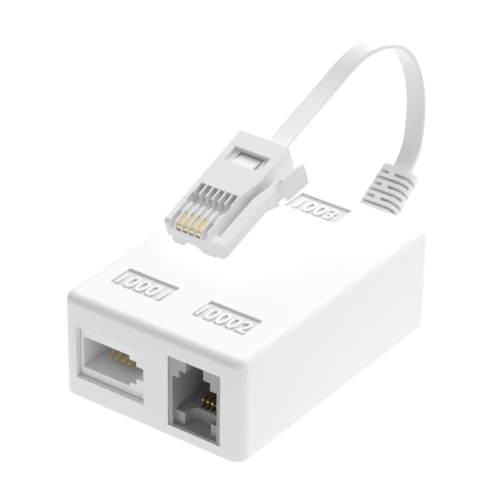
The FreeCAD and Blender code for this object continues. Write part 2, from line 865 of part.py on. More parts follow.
def make_strain_relief():
    bar = relief_bar()
    core_x = cord_width / 2 + relief_core_margin
    core_z = cord_thickness / 2 + relief_core_margin
    cutters = []
    for row in range(relief_slot_rows):
        s = relief_length() - relief_end_collar - relief_slot / 2 - row * relief_slot_pitch
        half = relief_slot / 2
        out = relief_root_width
        slab = box(-out, out, -half, half, -out, out).cut(box(-core_x, core_x, -half, half, -core_z, core_z))
        if row % 2 == 0:
            x0, x1 = centred(relief_bridge_shift, relief_top_bridge)
            keep = box(x0, x1, -half, half, -out, out)
        else:
            z0, z1 = centred(0, relief_side_bridge)
            keep = box(-out, out, -half, half, z0, z1)
        cutters.append(in_relief_frame(slab.cut(keep), s))
    bar = cut_all(bar, cutters)
    z = relief_exit_height
    cx0, cx1 = centred(0, relief_collar_width)
    cz0, cz1 = centred(z, relief_collar_height)
    nx0, nx1 = centred(0, relief_neck_width)
    nz0, nz1 = centred(z, relief_neck_height)
    collar = box(cx0, cx1, rear + fit_gap, rear + fit_gap + relief_collar_length, cz0, cz1)
    collar = collar.makeFillet(relief_collar_corner, [e for e in collar.Edges if runs_back(e)])
    neck = box(nx0, nx1, relief_inner_end, rear + fit_gap + into, nz0, nz1)
    inside = box(cx0, cx1, relief_inner_end, inner_rear - fit_gap, cz0, cz1)
    return fuse_all([bar, collar, neck, inside])


def cord_path(points):
    """Straight runs joined by tangent arcs, each arc as large as its runs allow."""
    pts = [Vec(*p) for p in points]
    edges = []
    radii = []
    last = pts[0]
    for i in range(1, len(pts) - 1):
        a = (pts[i] - pts[i - 1])
        b = (pts[i + 1] - pts[i])
        run = arc_share * min(a.Length, b.Length)
        turn = a.getAngle(b)
        a.normalize()
        b.normalize()
        radius = run / math.tan(turn / 2)
        radii.append(radius)
        start = pts[i] - a * run
        end = pts[i] + b * run
        inward = (b - a).normalize()
        centre = pts[i] + inward * (radius / math.cos(turn / 2))
        middle = centre - inward * radius
        edges.append(Part.LineSegment(last, start).toShape())
        edges.append(Part.Arc(start, middle, end).toShape())
        last = end
    edges.append(Part.LineSegment(last, pts[-1]).toShape())
    return Part.Wire(edges), radii


def make_line_cord():
    path, radii = cord_path(cord_route)
    ahead = (Vec(*cord_route[1]) - Vec(*cord_route[0])).normalize()
    up = Vec(1, 0, 0).cross(ahead)
    section = flat_section(cord_width, cord_thickness, cord_corner, Vec(*cord_route[0]), up)
    sweep = Part.BRepOffsetAPI.MakePipeShell(path)
    sweep.setBiNormalMode(Vec(1, 0, 0))
    sweep.add(section)
    sweep.build()
    sweep.makeSolid()
    cord = sweep.shape()
    area = Part.Face(section).Area
    print("cord length %.1f, section times length %.1f" % (path.Length, area * path.Length))
    print("cord volume %.1f" % cord.Volume)
    print("cord radii", [round(r, 1) for r in radii])
    return cord


def tail_end_y():
    return relief_inner_end - cord_tail_length


def wire_down_y():
    return tail_end_y() - wire_run


def make_cord_tail():
    z0, z1 = centred(relief_exit_height, cord_thickness)
    tail = box(-cord_width / 2, cord_width / 2, tail_end_y(), relief_inner_end, z0, z1)
    return tail.makeFillet(cord_corner, [e for e in tail.Edges if runs_back(e)])


def make_wire(x):
    z = relief_exit_height
    y0 = tail_end_y()
    y1 = wire_down_y()
    corner = Vec(x, y1, z)
    a = Vec(x, y0, z)
    b = Vec(x, y1 + wire_bend, z)
    c = Vec(x, y1, z - wire_bend)
    middle = corner + Vec(0, 1, -1) * (wire_bend * (1 - math.sqrt(0.5)))
    path = Part.Wire([Part.LineSegment(a, b).toShape(), Part.Arc(b, middle, c).toShape(),
                      Part.LineSegment(c, Vec(x, y1, lead_end)).toShape()])
    circle = Part.Wire([Part.Circle(a, Vec(0, 1, 0), wire_diameter / 2).toShape()])
    return path.makePipeShell([circle], True, False)


# Plug, modelled flat: x across, y back from the nose, z up from its top face
def place_plug(shape):
    shape = shape.copy()
    shape.Placement = FreeCAD.Placement(Vec(*plug_nose_corner), FreeCAD.Rotation(Vec(1, 0, 0), plug_pitch))
    return shape


def slot_x(i):
    return plug_first_slot + i * plug_pin_pitch


def plug_blank():
    """Plan of the plug: a straight nose whose right side swings out in an S to the wider grip."""
    a, b = Vec(plug_width, flank_straight, 0), Vec(plug_grip_width, flank_end, 0)
    swing = Part.BSplineCurve()
    swing.interpolate(Points=[a, (a + b) * 0.5, b], InitialTangent=Vec(0, 1, 0), FinalTangent=Vec(0, 1, 0))
    corners = [b, Vec(plug_grip_width, plug_length, 0), Vec(0, plug_length, 0), Vec(0, 0, 0),
               Vec(plug_width, 0, 0), a]
    edges = [swing.toShape()] + [Part.LineSegment(p, q).toShape() for p, q in zip(corners, corners[1:])]
    return Part.Face(Part.Wire(edges)).extrude(Vec(0, 0, -plug_thickness))


def flank_cut():
    """Sloping flank of the nose's right side, running out in an S towards the grip."""
    side = plug_grip_width + flank_lift
    stations = [(-past, 1.0)]
    for i in range(flank_steps):
        along = i / (flank_steps - 1)
        stations.append((flank_straight + (flank_end - flank_straight) * along,
                         max(least_flank, (1 + math.cos(math.pi * along)) / 2)))
    sections = []
    for y, share in stations:
        x = plug_grip_width - (plug_grip_width - plug_width + flank_width) * share
        low = -flank_depth * (1 + 3 * share) / 4
        sections.append(Part.makePolygon([Vec(x, y, flank_lift), Vec(side, y, flank_lift), Vec(side, y, low),
                                          Vec(x, y, flank_lift)]))
    return Part.makeLoft(sections, True, True)


def latch_arm():
    """Spring arm rooted at the nose, its catch that stands out, and the thumb tab that flares away."""
    inner = latch_outer - latch_thickness
    top = -latch_top
    low = -latch_bottom
    root = plug_width - past
    bend = latch_outer + latch_spread
    outer = bend + latch_catch
    catch = outer - latch_catch_width
    outline = [(root, 0), (latch_outer, 0), (bend, latch_bend), (outer, latch_end), (catch, latch_end),
               (inner + latch_spread, latch_bend), (inner, latch_root), (root, latch_root)]
    arm = polygon([(px, py, low) for px, py in outline], (0, 0, top - low))
    sections = []
    for y, x, size in ((-past, latch_outer, latch_chamfer), (latch_bend, bend, latch_chamfer),
                       (latch_end + sliver, outer, sliver)):
        corners = [Vec(x - size, y, low - sliver), Vec(x + past, y, low - sliver),
                   Vec(x + past, y, low + 2 * size), Vec(x + sliver, y, low + size)]
        sections.append(Part.makePolygon(corners + corners[:1]))
    arm = arm.cut(Part.makeLoft(sections, True, True))
    tab_x = catch + tab_step
    outline = [(catch, latch_end - into), (catch + neck_thickness, latch_end - into),
               (catch + neck_thickness, tab_start - into), (tab_x, tab_start),
               (tab_x - tab_thickness, tab_start + neck_thickness), (catch, tab_start)]
    rise = top - low + neck_drop - neck_inset
    neck = polygon([(px, py, low - neck_drop) for px, py in outline], (0, 0, rise))
    plate = polygon([(tab_x, tab_start, -tab_top), (tab_x, tab_start, -tab_bottom),
                     (tab_x, tab_end, -tab_bottom + tab_slant), (tab_x, tab_end, -tab_top)],
                    (-tab_thickness, 0, 0))
    shear = FreeCAD.Matrix()
    shear.A12 = tab_flare / (tab_end - tab_start)
    shear.A14 = -shear.A12 * tab_start
    plate = plate.transformGeometry(shear)
    return fuse_all([arm, neck, plate])


def make_plug_body():
    body = plug_blank()
    nose = [e for e in body.Edges if lies_at(e, 0) and all(v.Point.y < sliver for v in e.Vertexes)]
    body = body.makeFillet(plug_nose_round, nose)
    back = [e for e in body.Edges if all(v.Point.y > plug_length - sliver for v in e.Vertexes)]
    body = body.makeFillet(plug_edge, back)
    cutters = [flank_cut()]
    for i in range(plug_slots):
        blade = 0 < i < plug_slots - 1
        x0, x1 = centred(slot_x(i), plug_blade_slot if blade else plug_slot_width)
        cutters.append(box(x0, x1, -past, groove_length, -groove_depth, past))
        x0, x1 = centred(slot_x(i), plug_slot_width)
        cutters.append(box(x0, x1, groove_length - sliver, channel_start + sliver, -rail_depth, past))
        outline = [(channel_end - sliver, past), (comb_end, past), (comb_end, -comb_rear_depth),
                   (channel_end - sliver, -channel_depth)]
        x0, x1 = centred(slot_x(i) + comb_shift, comb_slot_width)
        cutters.append(polygon([(x0, py, pz) for py, pz in outline], (x1 - x0, 0, 0)))
    cutters.append(box(channel_left, channel_right, channel_start, channel_end, -channel_depth, past))
    low = -plug_thickness
    cutters.append(box(-past, foot_inset, -past, channel_start, low - past, low + foot_rise))
    arch = [(arch_left, low - sliver), (arch_left + arch_left_slope, low + arch_rise),
            (arch_right - arch_right_slope, low + arch_rise), (arch_right, low - sliver)]
    cutters.append(polygon([(px, -past, pz) for px, pz in arch], (0, channel_end + past, 0)))
    cutters.append(clamp_window())
    body = cut_all(body, cutters)
    return place_plug(fuse_all([body, latch_arm()]))


def clamp_window():
    """Window over the cord clamp: a shallow pocket, and the wedge that was pressed down in it."""
    pocket = box(clamp_left, clamp_right, clamp_start, clamp_end, -clamp_depth, past)
    wedge_rear = clamp_end - wedge_slit
    low = -clamp_depth
    profile = [(clamp_start - past, low - past), (wedge_rear, low - past), (wedge_rear, low - wedge_top),
               (clamp_start + wedge_slope_setback, -wedge_top), (clamp_start - past, -wedge_top)]
    wedge = polygon([(wedge_left, py, pz) for py, pz in profile], (wedge_right - wedge_left, 0, 0))
    slit_front = clamp_start + wedge_slit_setback
    slits = [
        box(wedge_left - wedge_slit, wedge_left, slit_front, clamp_end, -wedge_slit_depth, past),
        box(wedge_right, wedge_right + wedge_slit, slit_front, clamp_end, -wedge_slit_depth, past),
        box(wedge_left, wedge_right, wedge_rear, clamp_end, -wedge_slit_depth, past),
    ]
    floor_front = clamp_start + wedge_floor_setback
    behind = box(wedge_left, wedge_right, floor_front, wedge_rear, low - wedge_top, past)
    return fuse_all([pocket, behind] + slits).cut(wedge)


def make_plug_contact(i):
    """Blade in a nose groove: gilded crest on top, free tip in front with room under it."""
    width = plug_blade_slot - 2 * plug_contact_gap
    x = slot_x(i) - width / 2
    floor = -groove_depth + plug_contact_gap
    crest = -contact_top
    start = contact_start
    end = groove_length - plug_contact_gap
    tip = crest - contact_bow
    middle = Vec(x, start + contact_bow * (1 - math.sqrt(0.5)), crest - contact_bow * (1 - math.sqrt(0.5)))
    corners = [Vec(x, start + contact_bow, crest), Vec(x, end, crest), Vec(x, end, floor),
               Vec(x, start + contact_tip_length, floor),
               Vec(x, start + contact_tip_length, tip - contact_tip_height),
               Vec(x, start, tip - contact_tip_height), Vec(x, start, tip)]
    edges = [Part.LineSegment(p, q).toShape() for p, q in zip(corners, corners[1:])]
    edges.append(Part.Arc(corners[-1], middle, corners[0]).toShape())
    return place_plug(Part.Face(Part.Wire(edges)).extrude(Vec(width, 0, 0)))


save("upper_cover", make_upper_cover())
save("base_cover", make_base_cover())
save("phone_socket", make_phone_socket())
save("modem_socket", make_modem_socket())
make_springs()
save("circuit_board", make_circuit_board())
make_choke("choke_a", -choke_x)
make_choke("choke_b", choke_x)
for number, spot in enumerate(filter_cap_places):
    make_box_capacitor("filter_capacitor_%d" % (number + 1), spot, filter_cap)
make_box_capacitor("ring_capacitor", ring_cap_place, ring_cap)
make_resistor("resistor", resistor_place)
save("strain_relief", make_strain_relief())
save("line_cord", make_line_cord())
save("cord_tail", make_cord_tail())
for number, side in enumerate((-1, 1)):
    save("line_wire_%d" % (number + 1), make_wire(side * wire_spacing / 2))
save("plug_body", make_plug_body())
for number in range(4):
    save("plug_contact_%d" % (number + 1), make_plug_contact(number + 1))
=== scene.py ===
import bpy
import bmesh
import json
from math import cos, sin, radians, pi
from mathutils import Matrix, Vector

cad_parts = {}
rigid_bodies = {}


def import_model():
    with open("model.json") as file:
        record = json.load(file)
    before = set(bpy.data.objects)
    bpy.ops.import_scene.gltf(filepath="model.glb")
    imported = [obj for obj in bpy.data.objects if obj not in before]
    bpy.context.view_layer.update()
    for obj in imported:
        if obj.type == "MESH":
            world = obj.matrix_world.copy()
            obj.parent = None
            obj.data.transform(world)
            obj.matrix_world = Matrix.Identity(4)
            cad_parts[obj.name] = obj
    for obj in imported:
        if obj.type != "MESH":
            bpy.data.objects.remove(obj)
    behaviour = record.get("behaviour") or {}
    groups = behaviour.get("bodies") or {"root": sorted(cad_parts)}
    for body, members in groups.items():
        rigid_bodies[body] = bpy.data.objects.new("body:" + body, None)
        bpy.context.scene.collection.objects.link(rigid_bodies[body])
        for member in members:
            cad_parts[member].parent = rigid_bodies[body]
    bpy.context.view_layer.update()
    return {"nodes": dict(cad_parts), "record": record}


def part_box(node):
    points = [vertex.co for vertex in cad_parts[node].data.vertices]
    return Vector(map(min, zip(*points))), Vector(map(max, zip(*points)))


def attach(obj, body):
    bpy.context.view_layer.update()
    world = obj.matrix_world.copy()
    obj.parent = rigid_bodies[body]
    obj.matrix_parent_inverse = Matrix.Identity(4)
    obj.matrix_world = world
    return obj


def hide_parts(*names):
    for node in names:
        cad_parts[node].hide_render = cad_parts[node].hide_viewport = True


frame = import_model()
nodes = frame["nodes"]
mm = 0.001
mergeMm = 0.001
print("frame loaded,", len(nodes), "nodes")


# Helpers for colours, nodes and objects
def toLinear(hexColour):
    channels = [int(hexColour[i:i + 2], 16) / 255 for i in (1, 3, 5)]
    return [c / 12.92 if c <= 0.04045 else ((c + 0.055) / 1.055) ** 2.4 for c in channels] + [1.0]


def addNode(tree, kind, inputs=None, **settings):
    node = tree.nodes.new(kind)
    for name, value in settings.items():
        setattr(node, name, value)
    for name, value in (inputs or {}).items():
        if isinstance(value, bpy.types.NodeSocket):
            tree.links.new(value, node.inputs[name])
        else:
            node.inputs[name].default_value = value
    return node


def perMetre(sizeInMm):
    return 1 / (sizeInMm * mm)


def linkObject(name, mesh):
    piece = bpy.data.objects.new(name, mesh)
    bpy.context.scene.collection.objects.link(piece)
    return piece


def evaluatedMesh(piece):
    # what the piece's modifiers make of it, as a plain mesh
    bpy.context.view_layer.update()
    return bpy.data.meshes.new_from_object(piece.evaluated_get(bpy.context.evaluated_depsgraph_get()))


# Materials: sizes of clouds, grain and lines are real ones, in millimetres
skin = {
    "cloudDetail": 3.0, "grainDetail": 2.0, "grainDepth": 0.02, "cloudRange": (0.3, 0.7),
    "glossSpread": 0.03, "metalGlossSpread": 0.06, "lineDetail": 2.0, "lineStretch": (1.0, 0.08, 0.3),
}
plastics = {
    # polished ABS of the case: bright and glossy, with a clean fall of tone round its edges
    "glossyWhiteAbs": {
        "colour": "#f2f2f2", "shade": "#efefef", "roughness": 0.2, "bump": 0.05, "ior": 1.53,
        "cloudMm": 9.0, "grainMm": 0.9},
    # ABS of the label pockets' floors: spark-eroded and so dull, and greyer than the case as painted shade
    # of the sunk floor, so the raised numbers stand out
    "erodedWhiteAbs": {
        "colour": "#dcdcdf", "shade": "#d6d6da", "roughness": 0.55, "bump": 0.5, "ior": 1.53,
        "cloudMm": 3.0, "grainMm": 0.12},
    # ABS of the phone socket: a softer shine that shades evenly in its steps
    "satinWhiteAbs": {
        "colour": "#f6f6f9", "shade": "#f1f1f5", "roughness": 0.34, "bump": 0.08, "ior": 1.53,
        "cloudMm": 5.0, "grainMm": 0.5},
    # moulded polyester of the modem socket: flat mid grey that goes dark in the cavity
    "greyPolyester": {
        "colour": "#a8a8a9", "shade": "#a2a2a4", "roughness": 0.42, "bump": 0.12, "ior": 1.55,
        "cloudMm": 4.0, "grainMm": 0.4},
    # overmoulded vinyl of the strain relief: soft and nearly matt
    "softWhiteVinyl": {
        "colour": "#eaeaea", "shade": "#e5e5e6", "roughness": 0.45, "bump": 0.12, "ior": 1.53,
        "cloudMm": 4.0, "grainMm": 0.5},
    # extruded vinyl of the cord's jacket: smooth, with a broad weak shine along the ribbon
    "extrudedWhiteVinyl": {
        "colour": "#f0f0f1", "shade": "#ebebed", "roughness": 0.36, "bump": 0.1, "ior": 1.53,
        "cloudMm": 6.0, "grainMm": 0.6},
    # ABS of the plug: a little greyer than the case, with crisp light edges
    "clearedWhiteAbs": {
        "colour": "#eeeeef", "shade": "#eaeaeb", "roughness": 0.24, "bump": 0.05, "ior": 1.53,
        "cloudMm": 6.0, "grainMm": 0.6},
    # cured solder mask over the board's laminate: deep green with a waxy shine
    "solderMask": {
        "colour": "#1f5a35", "shade": "#1a4f2e", "roughness": 0.35, "bump": 0.15, "ior": 1.5,
        "cloudMm": 3.0, "grainMm": 0.3},
    # pressed and sintered ferrite: dark, dull and grainy like fired clay
    "sinteredFerrite": {
        "colour": "#3a3a3c", "shade": "#2c2c2e", "roughness": 0.7, "bump": 0.5, "ior": 1.6,
        "cloudMm": 1.0, "grainMm": 0.15},
    # moulded phenolic of the bobbins: near black with a faint sheen
    "phenolicBobbin": {
        "colour": "#1d1d1f", "shade": "#252527", "roughness": 0.4, "bump": 0.15, "ior": 1.6,
        "cloudMm": 3.0, "grainMm": 0.3},
    # dipped epoxy of the film capacitors: wet-looking brick red that waves a little
    "dippedEpoxy": {
        "colour": "#9a3420", "shade": "#8a2c1a", "roughness": 0.22, "bump": 0.25, "ior": 1.55,
        "cloudMm": 2.0, "grainMm": 0.8},
    # moulded case of the ring capacitor: flat ochre with soft edges
    "mouldedCapacitorCase": {
        "colour": "#c9a23c", "shade": "#c09a36", "roughness": 0.4, "bump": 0.15, "ior": 1.5,
        "cloudMm": 3.0, "grainMm": 0.3},
    # extruded vinyl of the two line wires: plain red
    "redWireVinyl": {
        "colour": "#b02a20", "shade": "#a3241b", "roughness": 0.4, "bump": 0.1, "ior": 1.53,
        "cloudMm": 3.0, "grainMm": 0.4},
}
metals = {
    # drawn and gilded wire of the modem socket: dark gold, as it lies in the shade
    "gildedSpringWire": {"colour": "#d8c684", "shade": "#c2ad6a", "roughness": 0.3, "lineMm": 0.05},
    # flat plated springs of the phone socket: paler gold with a blurred shine
    "platedSpring": {"colour": "#f4e4b0", "shade": "#e6d196", "roughness": 0.38, "lineMm": 0.05},
    # stamped blades of the plug under a thin flash of gold: creamy and nearly matt
    "flashGoldBlade": {"colour": "#fbeecb", "shade": "#f5e2b6", "roughness": 0.42, "lineMm": 0.08},
    # drawn copper under clear enamel: warm brown with a bright line on each turn
    "enamelledCopper": {"colour": "#b8683c", "shade": "#a4562e", "roughness": 0.25, "lineMm": 0.08},
    # tin-dipped steel of the pins: cool grey
    "tinnedSteel": {"colour": "#c9cacc", "shade": "#bcbdc0", "roughness": 0.3, "lineMm": 0.05},
}
# lacquered body of the resistor with painted bands, each from and to a place along it, and bare wire ends
resistorPaint = {
    "middle": -8.2, "reach": 6.0, "bodyHalf": 3.15, "roughness": 0.3, "lacquer": "#c8b48c",
    "wire": "#c4c5c7", "bands": [
        (-2.3, -1.8, "#7a2a1c"), (-1.2, -0.7, "#1c1c1e"), (-0.1, 0.4, "#b8481e"), (1.8, 2.3, "#b0903c"),
    ],
}


def startMaterial(name):
    material = bpy.data.materials.new(name)
    material.use_nodes = True
    tree = material.node_tree
    tree.nodes.clear()
    output = addNode(tree, "ShaderNodeOutputMaterial")
    shader = addNode(tree, "ShaderNodeBsdfPrincipled")
    tree.links.new(shader.outputs["BSDF"], output.inputs["Surface"])
    place = addNode(tree, "ShaderNodeTexCoord").outputs["Object"]
    return material, tree, shader, place


def mouldedPlastic(name, look):
    # a moulded skin: faint cloudiness in the colour, a fine texture from the tool, a little uneven gloss
    material, tree, shader, place = startMaterial(name)
    cloud = addNode(tree, "ShaderNodeTexNoise", {
        "Vector": place, "Scale": perMetre(look["cloudMm"]), "Detail": skin["cloudDetail"]})
    tint = addNode(tree, "ShaderNodeMix", {"Factor": cloud.outputs["Fac"]}, data_type="RGBA")
    tint.inputs["A"].default_value = toLinear(look["colour"])
    tint.inputs["B"].default_value = toLinear(look["shade"])
    tree.links.new(tint.outputs["Result"], shader.inputs["Base Color"])
    grain = addNode(tree, "ShaderNodeTexNoise", {
        "Vector": place, "Scale": perMetre(look["grainMm"]), "Detail": skin["grainDetail"]})
    gloss = addNode(tree, "ShaderNodeMapRange", {
        "Value": cloud.outputs["Fac"],
        "From Min": skin["cloudRange"][0], "From Max": skin["cloudRange"][1],
        "To Min": look["roughness"] - skin["glossSpread"],
        "To Max": look["roughness"] + skin["glossSpread"]})
    tree.links.new(gloss.outputs["Result"], shader.inputs["Roughness"])
    texture = addNode(tree, "ShaderNodeBump", {
        "Height": grain.outputs["Fac"], "Strength": look["bump"], "Distance": skin["grainDepth"] * mm})
    tree.links.new(texture.outputs["Normal"], shader.inputs["Normal"])
    shader.inputs["IOR"].default_value = look["ior"]
    return material


def drawnMetal(name, look):
    # plated or drawn wire: fine lines along the wire and a soft shine
    material, tree, shader, place = startMaterial(name)
    drawn = addNode(tree, "ShaderNodeMapping", {"Vector": place, "Scale": skin["lineStretch"]})
    lines = addNode(tree, "ShaderNodeTexNoise", {
        "Vector": drawn.outputs["Vector"], "Scale": perMetre(look["lineMm"]), "Detail": skin["lineDetail"]})
    tint = addNode(tree, "ShaderNodeMix", {"Factor": lines.outputs["Fac"]}, data_type="RGBA")
    tint.inputs["A"].default_value = toLinear(look["colour"])
    tint.inputs["B"].default_value = toLinear(look["shade"])
    tree.links.new(tint.outputs["Result"], shader.inputs["Base Color"])
    gloss = addNode(tree, "ShaderNodeMapRange", {
        "Value": lines.outputs["Fac"],
        "To Min": look["roughness"] - skin["metalGlossSpread"],
        "To Max": look["roughness"] + skin["metalGlossSpread"]})
    tree.links.new(gloss.outputs["Result"], shader.inputs["Roughness"])
    shader.inputs["Metallic"].default_value = 1.0
    return material


def bandedLacquer(name, look):
    # the resistor: each stretch along its length has its own flat colour, and past the body it is metal
    material, tree, shader, place = startMaterial(name)
    along = addNode(tree, "ShaderNodeSeparateXYZ", {"Vector": place}).outputs["X"]
    middle, reach, end = (look[key] * mm for key in ("middle", "reach", "bodyHalf"))
    share = addNode(tree, "ShaderNodeMapRange", {
        "Value": along, "From Min": middle - reach, "From Max": middle + reach})
    paint = addNode(tree, "ShaderNodeValToRGB", {"Fac": share.outputs["Result"]})
    ramp = paint.color_ramp
    ramp.interpolation = "CONSTANT"
    ramp.elements.remove(ramp.elements[1])
    ramp.elements[0].color = toLinear(look["wire"])
    stretches = [(-look["bodyHalf"], look["lacquer"]), (look["bodyHalf"], look["wire"])]
    for start, stop, colour in look["bands"]:
        stretches += [(start, colour), (stop, look["lacquer"])]
    for start, colour in stretches:
        ramp.elements.new(0.5 + start / (2 * look["reach"])).color = toLinear(colour)
    tree.links.new(paint.outputs["Color"], shader.inputs["Base Color"])
    onBody = addNode(tree, "ShaderNodeMath", {0: along, 1: middle, 2: end}, operation="COMPARE")
    bare = addNode(tree, "ShaderNodeMath", {0: 1.0, 1: onBody.outputs[0]}, operation="SUBTRACT")
    tree.links.new(bare.outputs[0], shader.inputs["Metallic"])
    shader.inputs["Roughness"].default_value = look["roughness"]
    return material


finishes = {name: mouldedPlastic(name, look) for name, look in plastics.items()}
finishes["lacqueredResistor"] = bandedLacquer("lacqueredResistor", resistorPaint)
finishes.update({name: drawnMetal(name, look) for name, look in metals.items()})

finishOfSlot = {
    "cover_plastic": "glossyWhiteAbs", "white_socket_plastic": "satinWhiteAbs",
    "grey_socket_plastic": "greyPolyester", "gilded_contact": "gildedSpringWire",
    "board_laminate": "solderMask", "ferrite": "sinteredFerrite", "bobbin_plastic": "phenolicBobbin",
    "copper_winding": "enamelledCopper", "tinned_pin": "tinnedSteel", "film_capacitor": "dippedEpoxy",
    "box_capacitor": "mouldedCapacitorCase", "resistor_body": "lacqueredResistor",
    "relief_plastic": "softWhiteVinyl", "cord_jacket": "extrudedWhiteVinyl",
    "wire_insulation": "redWireVinyl", "plug_plastic": "clearedWhiteAbs",
}
finishOfContact = {"phone": "platedSpring", "modem": "gildedSpringWire", "plug": "flashGoldBlade"}
slotOfNode = {part["node"]: part["material_slot"] for part in frame["record"]["subparts"]}


def finishOfNode(nodeName):
    # the three sorts of contact share a slot, but not a look
    if "contact" in nodeName:
        return finishes[finishOfContact[nodeName.split("_")[0]]]
    return finishes[finishOfSlot[slotOfNode[nodeName]]]


for nodeName, cadNode in nodes.items():
    cadNode.data.materials.clear()
    cadNode.data.materials.append(finishOfNode(nodeName))
print("materials done,", len(finishes))


# Moulded parts with their sharp edges broken, as a real mould leaves them
brokenEdges = {
    "plug_body": {"width": 0.07, "segments": 2, "angle": 28.0},
    "strain_relief": {"width": 0.12, "segments": 3, "angle": 32.0},
}
flatAngle = 1.0


def breakEdges(nodeName, spec):
    mesh = nodes[nodeName].data.copy()
    bm = bmesh.new()
    bm.from_mesh(mesh)
    bmesh.ops.remove_doubles(bm, verts=bm.verts, dist=mergeMm * mm)
    bmesh.ops.dissolve_limit(bm, angle_limit=radians(flatAngle), verts=bm.verts, edges=bm.edges)
    bmesh.ops.recalc_face_normals(bm, faces=bm.faces)
    bm.to_mesh(mesh)
    bm.free()
    mesh.shade_smooth()
    rough = linkObject("rough", mesh)
    bevel = rough.modifiers.new("bevel", "BEVEL")
    bevel.width = spec["width"] * mm
    bevel.segments = spec["segments"]
    bevel.limit_method = "ANGLE"
    bevel.angle_limit = radians(spec["angle"])
    # keeps the flat faces flat beside their soft edges
    even = rough.modifiers.new("even", "WEIGHTED_NORMAL")
    even.mode = "FACE_AREA"
    even.weight = 100
    soft = evaluatedMesh(rough)
    bpy.data.objects.remove(rough)
    soft.materials.clear()
    soft.materials.append(finishOfNode(nodeName))
    piece = linkObject("moulded_" + nodeName, soft)
    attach(piece, "root")
    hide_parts(nodeName)
    return piece


moulded = {nodeName: breakEdges(nodeName, spec) for nodeName, spec in brokenEdges.items()}
print("edges broken on", ", ".join(moulded))


# Flat cord, from the strain relief's end to the plug's back
flatCord = {
    "width": 4.3 * mm, "thickness": 1.2 * mm, "corner": 0.55 * mm, "cornerSteps": 5, "stepsPerPoint": 24,
    "route": [
        (0.0, 49.55, 16.955), (-0.2, 53.03, 19.31), (-0.6, 54.9, 24.1), (-1.3, 56.2, 30.0),
        (-2.6, 56.2, 36.4), (-4.2, 53.9, 41.5), (-5.9, 49.1, 43.6), (-7.7, 43.6, 42.6),
        (-9.1, 36.8, 38.0), (-9.55, 27.5, 34.3), (-9.55, 19.1, 31.22),
    ],
}


def splinePoints(route, stepsPerPoint):
    curve = bpy.data.curves.new("cordLine", "CURVE")
    curve.dimensions = "3D"
    curve.resolution_u = stepsPerPoint
    spline = curve.splines.new("NURBS")
    spline.points.add(len(route) - 1)
    for point, place in zip(spline.points, route):
        point.co = (*[c * mm for c in place], 1.0)
    spline.order_u = 3
    spline.use_endpoint_u = True
    line = linkObject("cordLine", curve)
    bpy.context.view_layer.update()
    mesh = bpy.data.meshes.new_from_object(line)
    points = [v.co.copy() for v in mesh.vertices]
    bpy.data.objects.remove(line)
    bpy.data.meshes.remove(mesh)
    return points


def flatSection(spec):
    ring = []
    for sx, sz, start in ((1, 1, 0.0), (-1, 1, 90.0), (-1, -1, 180.0), (1, -1, 270.0)):
        cx = sx * (spec["width"] / 2 - spec["corner"])
        cz = sz * (spec["thickness"] / 2 - spec["corner"])
        for step in range(spec["cornerSteps"] + 1):
            angle = radians(start + 90.0 * step / spec["cornerSteps"])
            ring.append((cx + spec["corner"] * cos(angle), cz + spec["corner"] * sin(angle)))
    return ring


def makeCord(spec):
    # the ribbon's width stays as near to level as the path allows
    path = splinePoints(spec["route"], spec["stepsPerPoint"])
    section = flatSection(spec)
    bm = bmesh.new()
    rings = []
    for i, point in enumerate(path):
        ahead = (path[min(i + 1, len(path) - 1)] - path[max(i - 1, 0)]).normalized()
        across = (Vector((1, 0, 0)) - ahead * ahead.x).normalized()
        up = across.cross(ahead)
        rings.append([bm.verts.new(point + across * a + up * b) for a, b in section])
    count = len(section)
    for near, far in zip(rings, rings[1:]):
        for k in range(count):
            bm.faces.new((near[k], near[(k + 1) % count], far[(k + 1) % count], far[k]))
    bm.faces.new(rings[0][::-1])
    bm.faces.new(rings[-1])
    bmesh.ops.recalc_face_normals(bm, faces=bm.faces)
    mesh = bpy.data.meshes.new("flatCord")
    bm.to_mesh(mesh)
    bm.free()
    mesh.materials.append(finishOfNode("line_cord"))
    mesh.shade_smooth()
    cord = linkObject("flatCord", mesh)
    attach(cord, "root")
    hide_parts("line_cord")


makeCord(flatCord)


# Raised numbers on the floors of the three sunk label pockets, in millimetres
portNumbers = {
    "cast": [("10001", (-9.47, -19.3)), ("10002", (8.88, -19.3)), ("1003", (-0.75, 22.2))],
    "height": 3.8, "stretch": 0.84, "spread": 0.06, "spacing": 1.08, "shift": (-0.1, -0.15),
    "floor": 20.6, "root": 0.05, "rise": 0.45, "softEdge": 0.04, "softEdgeSteps": 2, "curveSteps": 6,
    # the sheet over each pocket's floor carries painted shade
    "plate": (11.2, 5.8), "plateRise": 0.04,
}
digitCap = 0.73  # the height of a digit in Blender's own font, as a share of its size


def raisedDigits(text, spec):
    curve = bpy.data.curves.new("digits", "FONT")
    curve.body = text
    curve.size = spec["height"] / digitCap
    curve.offset = spec["spread"]
    curve.space_character = spec["spacing"]
    curve.extrude = (spec["rise"] + spec["root"]) / 2 - spec["softEdge"]
    curve.bevel_depth = spec["softEdge"]
    curve.bevel_resolution = spec["softEdgeSteps"]
    curve.resolution_u = spec["curveSteps"]
    word = linkObject("digits", curve)
    bpy.context.view_layer.update()
    mesh = bpy.data.meshes.new_from_object(word)
    bpy.data.objects.remove(word)
    mesh.materials.clear()
    mesh.materials.append(finishes["glossyWhiteAbs"])
    # the second finish, for the sheet over the pocket's floor, is greyer as painted shade
    mesh.materials.append(finishes["erodedWhiteAbs"])
    return mesh


